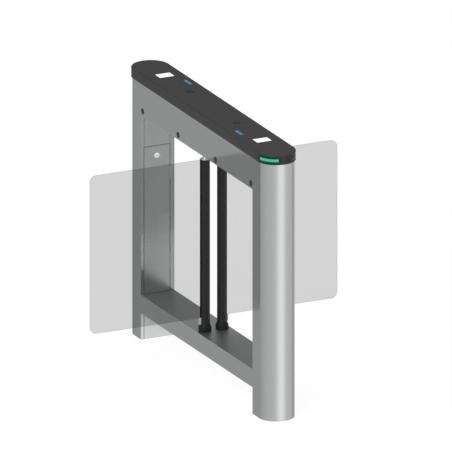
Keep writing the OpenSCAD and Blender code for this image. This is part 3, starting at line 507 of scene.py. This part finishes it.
# Two lit indicator bars: blue light guides with round ends, flush with the lid. A flange under the
# lid holds each, and the row of lamps below shows as a brighter line along the middle.
bar_r, bar_flange_r = 7 * mm, 9 * mm
under_lid = lid_high - lid_wall
bar_low = lid_high - 5 * mm


def close_to_line(tree, socket, line, near, far):
    """One close to plus or minus line, falling to nought between near and far from it."""
    off = sum_node(tree, "SUBTRACT", sum_node(tree, "ABSOLUTE", socket), line)
    fall = add_node(tree, "ShaderNodeMapRange", {
        "Value": sum_node(tree, "ABSOLUTE", off), "From Min": near, "From Max": far,
        "To Min": 1, "To Max": 0}, interpolation_type="SMOOTHSTEP")
    return fall.outputs["Result"]


def core_glow(material, core, edge_colour, core_colour):
    """Lights a finish in one colour, and in a brighter one where core is one."""
    tree = material.node_tree
    glow = add_node(tree, "ShaderNodeMix", {
        "Factor": core, "A": (*edge_colour, 1), "B": (*core_colour, 1)}, data_type="RGBA")
    connect(tree, tree.nodes["Principled BSDF"],
            {"Emission Color": glow.outputs["Result"], "Emission Strength": 1.0})


bar_blue = satin_coat("bar_blue", (0.020, 0.045, 0.070), 0.22, 0.5, 800, 0.000004)
tree = bar_blue.node_tree
split = add_node(tree, "ShaderNodeSeparateXYZ", {"Vector": own_place(tree)})
across = close_to_line(tree, split.outputs["Y"], indicator_y, 2.6 * mm, 7.0 * mm)
along_bar = close_to_line(tree, split.outputs["X"], indicator_x, 22 * mm, 29 * mm)
core_glow(bar_blue, sum_node(tree, "MULTIPLY", across, along_bar),
          (0.001, 0.052, 0.120), (0.024, 0.165, 0.305))
for end, side in (("rear", -1), ("front", 1)):
    bm = bmesh.new()
    for radius, low, high in ((bar_flange_r, bar_low, under_lid), (bar_r, under_lid, lid_high)):
        ring = round_ended_ring(bm, radius, (side * indicator_x, -side * indicator_y, low), True)
        pull_out(bm, list({f for v in ring for f in v.link_faces}), (0, 0, high - low))
    top_edges = [e for e in bm.edges if min(v.co.z for v in e.verts) > lid_high - 1e-6]
    ease_edges(bm, top_edges, 0.4 * mm, 3)
    new_piece(bm, end + "_light_bar", "lid", bar_blue, [end + "_indicator_bar"])

# Two round smoked lenses in the lid's centre line, set just below its top and held by a flange
# underneath. Each is slightly domed.
lens_profile = [(0, 1019.2), (6, 1019.14), (11, 1018.9), (13.4, 1018.65), (13.8, 1018.5), (14, 1018.1),
                (14, 1017), (16, 1017), (16, 1015), (0, 1015)]
smoked_glass = satin_coat("smoked_glass", (0.005, 0.005, 0.006), 0.08, 0.35, 300, 0.000002)
bm = bmesh.new()
for x in (-lens_x, lens_x):
    spun_profile(bm, in_mm(lens_profile), Vector((x, 0, 0)), 2 * math.pi, 64)
new_piece(bm, "lens_discs", "lid", smoked_glass, ["round_lenses"])

# The lane lights: a curved light guide in the recess at each side of both ends. The front left one
# is lit green, brightest along its middle, and the other three are unlit and look smoked.
guide_profile = [(67, 987.5), (69, 987.5), (69, 989.5), (71.2, 989.5), (71.48, 989.62), (71.6, 989.9),
                 (71.6, 1004.1), (71.48, 1004.38), (71.2, 1004.5), (69, 1004.5), (69, 1006.5), (67, 1006.5)]
guide_sweep = math.radians(61.7)
guide_core_z = 998.8 * mm
guide_dark = satin_coat("guide_dark", (0.010, 0.011, 0.011), 0.16, 0.5, 500, 0.000003)
guide_green = satin_coat("guide_green", (0.004, 0.020, 0.014), 0.30, 0.12, 500, 0.000003)
tree = guide_green.node_tree
split = add_node(tree, "ShaderNodeSeparateXYZ", {"Vector": own_place(tree)})
core_glow(guide_green, close_to_line(tree, split.outputs["Z"], guide_core_z, 3.0 * mm, 6.6 * mm),
          (0.002, 0.060, 0.028), (0.062, 0.540, 0.310))
for name, side, first in (("front_left", 1, -79.5), ("front_right", 1, 17.8), ("rear_left", -1, 197.8),
                          ("rear_right", -1, 100.5)):
    bm = bmesh.new()
    spun_profile(bm, in_mm(guide_profile), Vector((side * end_x, 0, 0)), guide_sweep, 28, math.radians(first))
    lit = name == "front_left"
    new_piece(bm, name + "_guide", "lid", guide_green if lit else guide_dark,
              [name + "_light"])

# The two poles: black anodised extrusions with a mouth for the glass down one side and a bore
# through the middle. A thin collar of the same section stands round the top.
pole_y = 34.3 * mm
pole_r = 18.3 * mm
collar_r = 19.3 * mm
bore_r = 9.5 * mm
mouth_half = 5.2 * mm
mouth_root = 12 * mm
pole_low, collar_low, pole_high = 198 * mm, 823 * mm, 828 * mm
collar_joint = 0.05 * mm


def line_to(bm, point, place):
    """Draws an edge from a vertex and gives the vertex at its end."""
    end_point = bmesh.ops.extrude_vert_indiv(bm, verts=[point])["verts"][0]
    end_point.co = place
    return end_point


def arc_from(bm, point, centre, axis, angle, steps):
    """Draws an arc from a vertex and gives the vertex at its end."""
    made = bmesh.ops.spin(bm, geom=[point], cent=centre, axis=axis, dvec=(0, 0, 0), angle=angle,
                          steps=steps, use_merge=False, use_duplicate=False)["geom_last"]
    return [g for g in made if isinstance(g, bmesh.types.BMVert)][0]


def set_at_pole(bm, turn):
    bmesh.ops.translate(bm, verts=bm.verts, vec=(0, pole_y, 0))
    turn_verts(bm, bm.verts, turn)


anodised_black = satin_coat("anodised_black", (0.012, 0.012, 0.013), 0.32, 0.38, 1200, 0.00001)
for hand, turn in (("right", 0), ("left", math.pi)):
    bm = bmesh.new()
    for radius, low, high in ((pole_r, pole_low, collar_low - collar_joint),
                              (collar_r, collar_low, pole_high)):
        half_mouth = math.asin(mouth_half / radius)
        first = bm.verts.new((mouth_half, radius * math.cos(half_mouth), low))
        point = arc_from(bm, first, (0, 0, 0), (0, 0, 1), -(2 * math.pi - 2 * half_mouth), 88)
        for corner in ((-mouth_half, mouth_root, low), (mouth_half, mouth_root, low)):
            point = line_to(bm, point, corner)
        bm.edges.new((point, first))
        bore = bmesh.ops.create_circle(bm, cap_ends=False, segments=48, radius=bore_r)["verts"]
        bmesh.ops.translate(bm, verts=bore, vec=(0, 0, low))
        outline = [e for e in bm.edges if e.is_wire]
        filled = bmesh.ops.triangle_fill(bm, edges=outline, normal=(0, 0, 1), use_beauty=True)["geom"]
        pull_out(bm, [g for g in filled if isinstance(g, bmesh.types.BMFace)], (0, 0, high - low))
    set_at_pole(bm, turn)
    extrusion = new_piece(bm, hand + "_extrusion", hand + "_barrier", anodised_black,
                          [hand + "_pole"])
    soft_edges(extrusion, 0.4 * mm)

# Drive shafts, turned from one bright bar each: a plug in the pole, a full-width disc on its top
# with a fine turned grain, and the shaft that goes up through the soffit.
shaft_profile = [(0, 814), (9.1, 814), (9.5, 814.4), (9.5, 828), (17.9, 828), (18.3, 828.4), (18.3, 829.5),
                 (17.8, 830), (10.5, 830), (8.9, 830.3), (8.5, 830.9), (8.5, 911.3), (7.8, 912), (0, 912)]
turned_steel = plain_metal("turned_steel", (0.95, 0.95, 0.96), 0.30, 50)
turned_steel.node_tree.nodes["Principled BSDF"].inputs["Anisotropic"].default_value = 0.3
for hand, side in (("right", 1), ("left", -1)):
    bm = bmesh.new()
    spun_profile(bm, in_mm(shaft_profile), Vector((0, side * pole_y, 0)), 2 * math.pi, 72)
    new_piece(bm, hand + "_turned_shaft", hand + "_barrier", turned_steel,
              [hand + "_drive_shaft"])

# Pole feet: black flared turnings that cover the joint at the deck. Each has a plug up into the
# pole and a pivot down into the bearing.
foot_profile = [(0, 155), (7.4, 155), (8, 155.6), (8, 171.3), (21, 171.3), (22.15, 171.53), (23.12, 172.18),
                (23.77, 173.15), (24, 174.3), (24, 185.3), (23.86, 186.1), (18.7, 197.1), (18.3, 198),
                (9.5, 198), (9.5, 215.5), (9, 216), (0, 216)]
foot_black = satin_coat("foot_black", (0.010, 0.010, 0.010), 0.50, 0.28, 1500, 0.00003)
for hand, side in (("right", 1), ("left", -1)):
    bm = bmesh.new()
    spun_profile(bm, in_mm(foot_profile), Vector((0, side * pole_y, 0)), 2 * math.pi, 72)
    new_piece(bm, hand + "_flared_foot", hand + "_barrier", foot_black, [hand + "_pole_foot"])

# The clear panels: 10 mm sheets with two large round corners and polished edges. Each stands in
# its pole's mouth on a light block.
glass_in, glass_out = 12.2 * mm, 462 * mm
glass_low, glass_high = 223 * mm, 827 * mm
glass_half = 5 * mm
corner_r = 25 * mm
corner_y = glass_out - corner_r


def clear_sheet(name, shade, alpha, specular, roughness):
    """A lone shader with plain Alpha, faintly clouded by fine wipe marks."""
    glass, tree, shader = new_finish(name)
    connect(tree, shader, {
        "Base Color": (*shade, 1), "Alpha": alpha, "IOR": 1.49, "Specular IOR Level": specular,
        "Roughness": spread(tree, speckle(tree, 5.0, 5.0), roughness - 0.02, roughness + 0.04)})
    return glass


clear_panel = clear_sheet("clear_panel", (0.002, 0.004, 0.004), 0.199, 0.35, 0.03)
clear_rim = clear_sheet("clear_rim", (0.008, 0.012, 0.011), 0.25, 0.5, 0.05)
for hand, turn in (("right", 0), ("left", math.pi)):
    bm = bmesh.new()
    first = bm.verts.new((-glass_half, glass_in, glass_low))
    point = first
    for corner, hub_z in (((corner_y, glass_low), glass_low + corner_r),
                          ((glass_out, glass_high - corner_r), glass_high - corner_r)):
        point = line_to(bm, point, (-glass_half, *corner))
        point = arc_from(bm, point, (-glass_half, corner_y, hub_z), (1, 0, 0), math.pi / 2, 14)
    point = line_to(bm, point, (-glass_half, glass_in, glass_high))
    bm.edges.new((point, first))
    pane = bmesh.ops.contextual_create(bm, geom=list(bm.edges))["faces"]
    pull_out(bm, pane, (2 * glass_half, 0, 0))
    arris = [e for e in bm.edges if abs(e.verts[0].co.x - e.verts[1].co.x) < 1e-6]
    ease_edges(bm, arris, 0.9 * mm, 3)
    bmesh.ops.recalc_face_normals(bm, faces=bm.faces)
    for f in bm.faces:
        f.material_index = 0 if abs(f.normal.x) > 0.99 else 1
    set_at_pole(bm, turn)
    panel = new_piece(bm, hand + "_clear_panel", hand + "_barrier", clear_panel,
                      [hand + "_glass_panel"])
    panel.data.materials.append(clear_rim)

# The blocks that the panels stand on: pale moulded plastic with softened edges, let into the
# poles' mouths.
pale_block = satin_coat("pale_block", (0.50, 0.51, 0.51), 0.45, 0.5, 900, 0.00002)
for hand in ("right", "left"):
    low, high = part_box(hand + "_support_block")
    bm = bmesh.new()
    sized_block(bm, [b - a for a, b in zip(low, high)], [(a + b) / 2 for a, b in zip(low, high)])
    ease_edges(bm, list(bm.edges), 0.8 * mm, 3)
    new_piece(bm, hand + "_panel_rest", hand + "_barrier", pale_block,
              [hand + "_support_block"])

# The door locks: a white enamelled bezel round a white key plug with its slot, a threaded barrel
# through the door and a hexagon nut behind it. Bezel and plug glow faintly white: a painted
# highlight that stands for the shine of the lock.
bezel_proud = 2 * mm
lock_pitch = 1.2
bezel_profile = [(5.55, 1.6), (5.8, 1.9), (7.1, 2.0), (8.4, 1.85), (9.3, 1.5), (9.8, 1.0), (10, 0.5), (10, 0),
                 (8, 0)]
for thread in range(3):
    bezel_profile += [(8, -0.3 - lock_pitch * thread), (7.7, -0.9 - lock_pitch * thread)]
bezel_profile += [(7.8, -4), (5.55, -4)]
lock_nut_r, lock_nut_rim, lock_nut_t = 12 * mm, 2.5 * mm, 2 * mm
lock_nut_low = -3.5 * mm
plug_r, plug_face_t = 5.3 * mm, 0.5 * mm
key_half, key_from, key_to = 0.9 * mm, -3.8 * mm, 1.6 * mm
# The faint white glow of bezel and plug is a painted highlight, not a lamp.
lock_white_painted_highlight = glowing(satin_coat("lock_white_painted_highlight", (0.82, 0.82, 0.82), 0.30, 0.5, 400, 0.000004), (1, 1, 1), 0.2)
low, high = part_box("rear_door_lock")
lock_end = high[0]
lock_y, lock_z = (low[1] + high[1]) / 2, (low[2] + high[2]) / 2
low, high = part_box("rear_lock_cam")
plug_end = high[0]
for end, turn in (("rear", 0), ("front", math.pi)):
    bm = bmesh.new()
    spun_profile(bm, in_mm(bezel_profile), Vector((0, 0, 0)), 2 * math.pi, 56)
    nut = bmesh.ops.create_circle(bm, cap_ends=True, segments=6, radius=lock_nut_r)["verts"]
    bmesh.ops.translate(bm, verts=nut, vec=(0, 0, lock_nut_low))
    nut_face = list({f for v in nut for f in v.link_faces})
    ring = bmesh.ops.inset_region(bm, faces=nut_face, thickness=lock_nut_rim, use_even_offset=True)["faces"]
    bmesh.ops.delete(bm, geom=nut_face, context="FACES_ONLY")
    pull_out(bm, ring, (0, 0, lock_nut_t))
    turn_verts(bm, bm.verts, math.pi / 2, "Y")
    bmesh.ops.translate(bm, verts=bm.verts, vec=(lock_end - bezel_proud, lock_y, lock_z))
    turn_verts(bm, bm.verts, turn)
    new_piece(bm, end + "_lock_bezel", end + "_door", lock_white_painted_highlight, [end + "_door_lock"])
    bm = bmesh.new()
    bmesh.ops.create_circle(bm, cap_ends=True, segments=40, radius=plug_r)
    for place, way_out in ((key_half, (0, 1, 0)), (-key_half, (0, 1, 0)),
                           (key_from, (1, 0, 0)), (key_to, (1, 0, 0))):
        bmesh.ops.bisect_plane(bm, geom=bm.verts[:] + bm.edges[:] + bm.faces[:], dist=1e-7,
                               plane_co=[place * c for c in way_out], plane_no=way_out)
    key_slot = [f for f in bm.faces if abs(f.calc_center_median().y) < key_half
                and key_from < f.calc_center_median().x < key_to]
    bmesh.ops.delete(bm, geom=key_slot, context="FACES_ONLY")
    pull_out(bm, list(bm.faces), (0, 0, plug_face_t))
    turn_verts(bm, bm.verts, math.pi / 2)
    turn_verts(bm, bm.verts, math.pi / 2, "Y")
    bmesh.ops.translate(bm, verts=bm.verts, vec=(plug_end, lock_y, lock_z))
    turn_verts(bm, bm.verts, turn)
    new_piece(bm, end + "_plug_face", end + "_lock", lock_white_painted_highlight)

# The floor: pale, so that it keeps the cabinet's shadow under a white view. Polished metal looks
# through it.
floor_size = 18
floor_tone, seen_drop, seen_lift = 0.80, 0.66, 0.90


def studio_sheet(bm, name, material):
    """Makes a sheet that belongs to the studio and not to the turnstile."""
    mesh = bpy.data.meshes.new(name)
    bm.to_mesh(mesh)
    bm.free()
    mesh.materials.append(material)
    sheet = bpy.data.objects.new(name, mesh)
    bpy.context.scene.collection.objects.link(sheet)
    return sheet


pale_floor, tree, shader = new_finish("pale_floor")
tree.nodes.remove(shader)
path = add_node(tree, "ShaderNodeLightPath", {})
from_camera = path.outputs["Is Camera Ray"]
matt = add_node(tree, "ShaderNodeBsdfDiffuse", {
    "Color": sum_node(tree, "MULTIPLY_ADD", from_camera, -seen_drop, floor_tone)})
lift = add_node(tree, "ShaderNodeEmission", {
    "Strength": sum_node(tree, "MULTIPLY", from_camera, seen_lift)})
both = add_node(tree, "ShaderNodeAddShader", {0: matt.outputs["BSDF"], 1: lift.outputs["Emission"]})
clear = add_node(tree, "ShaderNodeBsdfTransparent", {})
pick = add_node(tree, "ShaderNodeMixShader", {
    "Fac": path.outputs["Is Glossy Ray"], 1: both.outputs["Shader"], 2: clear.outputs["BSDF"]})
connect(tree, tree.nodes["Material Output"], {"Surface": pick.outputs["Shader"]})
bm = bmesh.new()
flat_sheet(bm, floor_size, floor_size, (0, 0, 0))
floor = studio_sheet(bm, "floor", pale_floor)

# A white card lies on the floor under each end of the window. Only polished metal shows it, as the
# bright foot of the posts' inner faces.
card_from, card_to = 0.22, 0.470
card_width, card_height = 0.134, 0.0005
card_white, tree, shader = new_finish("card_white")
card_white.cycles.emission_sampling = "NONE"
tree.nodes.remove(shader)
glow = add_node(tree, "ShaderNodeEmission", {"Strength": 1.0})
connect(tree, tree.nodes["Material Output"], {"Surface": glow.outputs["Emission"]})
for name, side in (("rear_card", -1), ("front_card", 1)):
    bm = bmesh.new()
    flat_sheet(bm, card_to - card_from, card_width, (side * (card_from + card_to) / 2, 0, card_height))
    floor_card = studio_sheet(bm, name, card_white)
    for kind in ("camera", "diffuse", "transmission", "shadow", "volume_scatter"):
        setattr(floor_card, "visible_" + kind, False)

# The background is white to the camera and through the panels. Polished metal sees a pale studio
# instead: brighter to the front, darker higher up, and with one dark card out to the right.
plain_level = 0.62
bright_turn, dark_turn = math.radians(15), math.radians(104)
rear_level, front_gain, front_power = 0.2, 0.511, 0.2627
card_edge, card_reach, card_shade = 60, 56.9, 0.38
world = bpy.data.worlds.new("studio")
bpy.context.scene.world = world
world.use_nodes = True
tree = world.node_tree
tree.nodes.clear()


def along_way(tree, way, direction):
    """How far a direction runs along another one: one when they are the same."""
    dot = add_node(tree, "ShaderNodeVectorMath", {0: way, 1: direction}, operation="DOT_PRODUCT")
    return dot.outputs["Value"]


way = add_node(tree, "ShaderNodeTexCoord", {}).outputs["Generated"]
to_bright = along_way(tree, way, (math.cos(bright_turn), math.sin(bright_turn), 0))
to_dark = along_way(tree, way, (math.cos(dark_turn), math.sin(dark_turn), 0))
broad = sum_node(tree, "POWER", sum_node(tree, "MULTIPLY_ADD", to_bright, 0.5, 0.5), front_power)
darker_up = add_node(tree, "ShaderNodeMapRange", {
    "Value": add_node(tree, "ShaderNodeSeparateXYZ", {"Vector": way}).outputs["Z"],
    "From Min": -0.05, "From Max": 0.30, "To Min": 1.0, "To Max": 0.55}, interpolation_type="SMOOTHSTEP")
level_turn = sum_node(tree, "MULTIPLY_ADD", broad, front_gain, rear_level)
gloss_level = sum_node(tree, "MULTIPLY", level_turn, darker_up.outputs["Result"])
dark_edge = sum_node(tree, "EXPONENT", sum_node(tree, "MULTIPLY_ADD", to_dark, card_edge, -card_reach))
dark_card = sum_node(tree, "MINIMUM", dark_edge, 1.0)
card_level = sum_node(tree, "MULTIPLY_ADD", dark_card, -card_shade, 1.0)
gloss_level = sum_node(tree, "MULTIPLY", gloss_level, card_level)
path = add_node(tree, "ShaderNodeLightPath", {})
gloss_extra = sum_node(tree, "SUBTRACT", gloss_level, plain_level)
level = sum_node(tree, "ADD", plain_level,
                 sum_node(tree, "MULTIPLY", path.outputs["Is Glossy Ray"], gloss_extra))
white_ray = sum_node(tree, "MAXIMUM", path.outputs["Is Camera Ray"], path.outputs["Is Transmission Ray"])
to_white = sum_node(tree, "SUBTRACT", 1.0, level)
level = sum_node(tree, "ADD", level, sum_node(tree, "MULTIPLY", white_ray, to_white))
back = add_node(tree, "ShaderNodeBackground", {"Color": (1, 1, 1, 1), "Strength": level})
add_node(tree, "ShaderNodeOutputWorld", {"Surface": back.outputs["Background"]})

# A tall soft screen stands close to the front end. Only polished surfaces show it, as a bright
# band that fades to both sides.
screen_turn = math.radians(5)
screen_height, screen_width = 2.5, 1.8
screen_middle = Vector((1.195, 0.052, 0.25))
screen_along = Vector((-math.sin(screen_turn), math.cos(screen_turn), 0))
screen_spread = 0.2229
screen_strength = 0.4233
screen_glow, tree, shader = new_finish("screen_glow")
screen_glow.cycles.emission_sampling = "NONE"
tree.nodes.remove(shader)
offset = along_way(tree, own_place(tree), screen_along / screen_spread)
from_middle = sum_node(tree, "SUBTRACT", offset, screen_middle.dot(screen_along) / screen_spread)
squared = sum_node(tree, "MULTIPLY", from_middle, from_middle)
bell = sum_node(tree, "EXPONENT", sum_node(tree, "MULTIPLY", squared, -0.5))
path = add_node(tree, "ShaderNodeLightPath", {})
glow = add_node(tree, "ShaderNodeEmission", {
    "Strength": sum_node(tree, "MULTIPLY", sum_node(tree, "MULTIPLY", bell, screen_strength),
                         path.outputs["Is Glossy Ray"])})
clear = add_node(tree, "ShaderNodeBsdfTransparent", {})
both = add_node(tree, "ShaderNodeAddShader", {0: glow.outputs["Emission"], 1: clear.outputs["BSDF"]})
connect(tree, tree.nodes["Material Output"], {"Surface": both.outputs["Shader"]})
bm = bmesh.new()
sheet = flat_sheet(bm, screen_height, screen_width, (0, 0, 0))
turn_verts(bm, sheet, math.pi / 2, "Y")
turn_verts(bm, sheet, screen_turn)
bmesh.ops.translate(bm, verts=sheet, vec=screen_middle)
soft_screen = studio_sheet(bm, "soft_screen", screen_glow)

# Two large soft lamps: a key lamp from the front left and a fill lamp from behind on the right.
# Both point at the middle of the cabinet, and polished metal shows only the first.
lamp_size = 2.4
lamp_aim = Vector((0, 0, 0.5))
for name, place, power in (("key_lamp", (2.2, -2.6, 3.2), 70), ("fill_lamp", (-2.8, 2.4, 3.0), 30)):
    lamp_data = bpy.data.lights.new(name, "AREA")
    lamp_data.size = lamp_size
    lamp_data.energy = power
    lamp = bpy.data.objects.new(name, lamp_data)
    lamp.location = place
    lamp.rotation_euler = (Vector(place) - lamp_aim).to_track_quat("Z", "Y").to_euler()
    lamp.visible_glossy = name != "fill_lamp"
    bpy.context.scene.collection.objects.link(lamp)

bpy.context.scene.view_settings.view_transform = "Standard"
